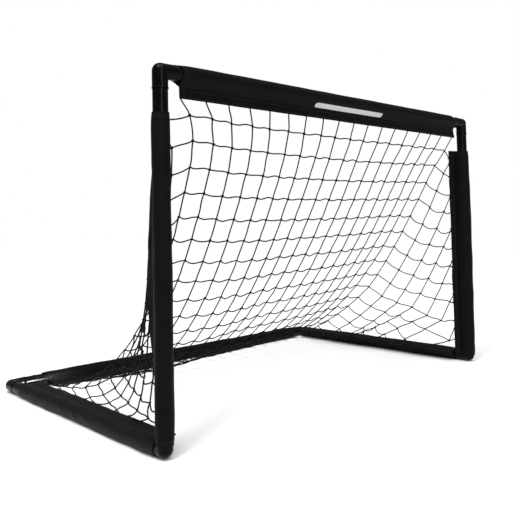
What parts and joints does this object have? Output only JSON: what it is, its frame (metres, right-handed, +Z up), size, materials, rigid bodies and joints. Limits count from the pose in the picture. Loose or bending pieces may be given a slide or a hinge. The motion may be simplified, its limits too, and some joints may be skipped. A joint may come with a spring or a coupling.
{
  "type": "portable hockey goal",
  "caption": "Small freestanding ice hockey goal: black tube frame on elbow joints, fabric sleeves over the tubes, and a slack knotted net sloping from crossbar to rear bar.",
  "frame": {"origin": "on the floor under the middle of the frame", "axes": "+Z up, the open mouth faces -Y, +X to the right as seen from in front of the mouth"},
  "size_m": [0.8992, 0.6212, 0.6],
  "materials": {
    "elbow": "gloss black moulded plastic",
    "tube": "gloss black powder coat",
    "sleeve": "black woven nylon",
    "net": "black knotted twine",
    "spring_steel": "bright spring steel"
  },
  "bodies": {
    "goal_frame": {"elbow_top_left": "elbow", "elbow_top_right": "elbow", "elbow_front_left": "elbow", "elbow_front_right": "elbow", "elbow_rear_left": "elbow", "elbow_rear_right": "elbow", "tube_post_left": "tube", "sleeve_post_left": "sleeve", "snap_clip_post_left_bottom": "spring_steel", "snap_clip_post_left_top": "spring_steel", "tube_post_right": "tube", "sleeve_post_right": "sleeve", "snap_clip_post_right_bottom": "spring_steel", "snap_clip_post_right_top": "spring_steel", "tube_crossbar": "tube", "sleeve_crossbar": "sleeve", "snap_clip_crossbar_left": "spring_steel", "snap_clip_crossbar_right": "spring_steel", "tube_side_bar_left": "tube", "sleeve_side_bar_left": "sleeve", "snap_clip_side_bar_left_front": "spring_steel", "snap_clip_side_bar_left_rear": "spring_steel", "tube_side_bar_right": "tube", "sleeve_side_bar_right": "sleeve", "snap_clip_side_bar_right_front": "spring_steel", "snap_clip_side_bar_right_rear": "spring_steel", "tube_rear_bar": "tube", "sleeve_rear_bar": "sleeve", "snap_clip_rear_bar_left": "spring_steel", "snap_clip_rear_bar_right": "spring_steel", "net_back": "net", "net_side_left": "net", "net_side_right": "net"},
    "button_post_left_bottom": {"snap_button_post_left_bottom": "spring_steel"},
    "button_post_left_top": {"snap_button_post_left_top": "spring_steel"},
    "button_post_right_bottom": {"snap_button_post_right_bottom": "spring_steel"},
    "button_post_right_top": {"snap_button_post_right_top": "spring_steel"},
    "button_crossbar_left": {"snap_button_crossbar_left": "spring_steel"},
    "button_crossbar_right": {"snap_button_crossbar_right": "spring_steel"},
    "button_side_bar_left_front": {"snap_button_side_bar_left_front": "spring_steel"},
    "button_side_bar_left_rear": {"snap_button_side_bar_left_rear": "spring_steel"},
    "button_side_bar_right_front": {"snap_button_side_bar_right_front": "spring_steel"},
    "button_side_bar_right_rear": {"snap_button_side_bar_right_rear": "spring_steel"},
    "button_rear_bar_left": {"snap_button_rear_bar_left": "spring_steel"},
    "button_rear_bar_right": {"snap_button_rear_bar_right": "spring_steel"}
  },
  "joints": [
    {"name": "press_post_left_bottom", "type": "slide", "parent": "goal_frame", "child": "button_post_left_bottom", "axis": [0, -1, 0], "range_m": [0, 0.0032], "stiffness_N_per_m": 2000},
    {"name": "press_post_left_top", "type": "slide", "parent": "goal_frame", "child": "button_post_left_top", "axis": [0, -1, 0], "range_m": [0, 0.0032], "stiffness_N_per_m": 2000},
    {"name": "press_post_right_bottom", "type": "slide", "parent": "goal_frame", "child": "button_post_right_bottom", "axis": [0, -1, 0], "range_m": [0, 0.0032], "stiffness_N_per_m": 2000},
    {"name": "press_post_right_top", "type": "slide", "parent": "goal_frame", "child": "button_post_right_top", "axis": [0, -1, 0], "range_m": [0, 0.0032], "stiffness_N_per_m": 2000},
    {"name": "press_crossbar_left", "type": "slide", "parent": "goal_frame", "child": "button_crossbar_left", "axis": [0, -1, 0], "range_m": [0, 0.0032], "stiffness_N_per_m": 2000},
    {"name": "press_crossbar_right", "type": "slide", "parent": "goal_frame", "child": "button_crossbar_right", "axis": [0, -1, 0], "range_m": [0, 0.0032], "stiffness_N_per_m": 2000},
    {"name": "press_side_bar_left_front", "type": "slide", "parent": "goal_frame", "child": "button_side_bar_left_front", "axis": [1, 0, 0], "range_m": [0, 0.0032], "stiffness_N_per_m": 2000},
    {"name": "press_side_bar_left_rear", "type": "slide", "parent": "goal_frame", "child": "button_side_bar_left_rear", "axis": [1, 0, 0], "range_m": [0, 0.0032], "stiffness_N_per_m": 2000},
    {"name": "press_side_bar_right_front", "type": "slide", "parent": "goal_frame", "child": "button_side_bar_right_front", "axis": [-1, 0, 0], "range_m": [0, 0.0032], "stiffness_N_per_m": 2000},
    {"name": "press_side_bar_right_rear", "type": "slide", "parent": "goal_frame", "child": "button_side_bar_right_rear", "axis": [-1, 0, 0], "range_m": [0, 0.0032], "stiffness_N_per_m": 2000},
    {"name": "press_rear_bar_left", "type": "slide", "parent": "goal_frame", "child": "button_rear_bar_left", "axis": [0, 0, -1], "range_m": [0, 0.0032], "stiffness_N_per_m": 2000},
    {"name": "press_rear_bar_right", "type": "slide", "parent": "goal_frame", "child": "button_rear_bar_right", "axis": [0, 0, -1], "range_m": [0, 0.0032], "stiffness_N_per_m": 2000}
  ]
}
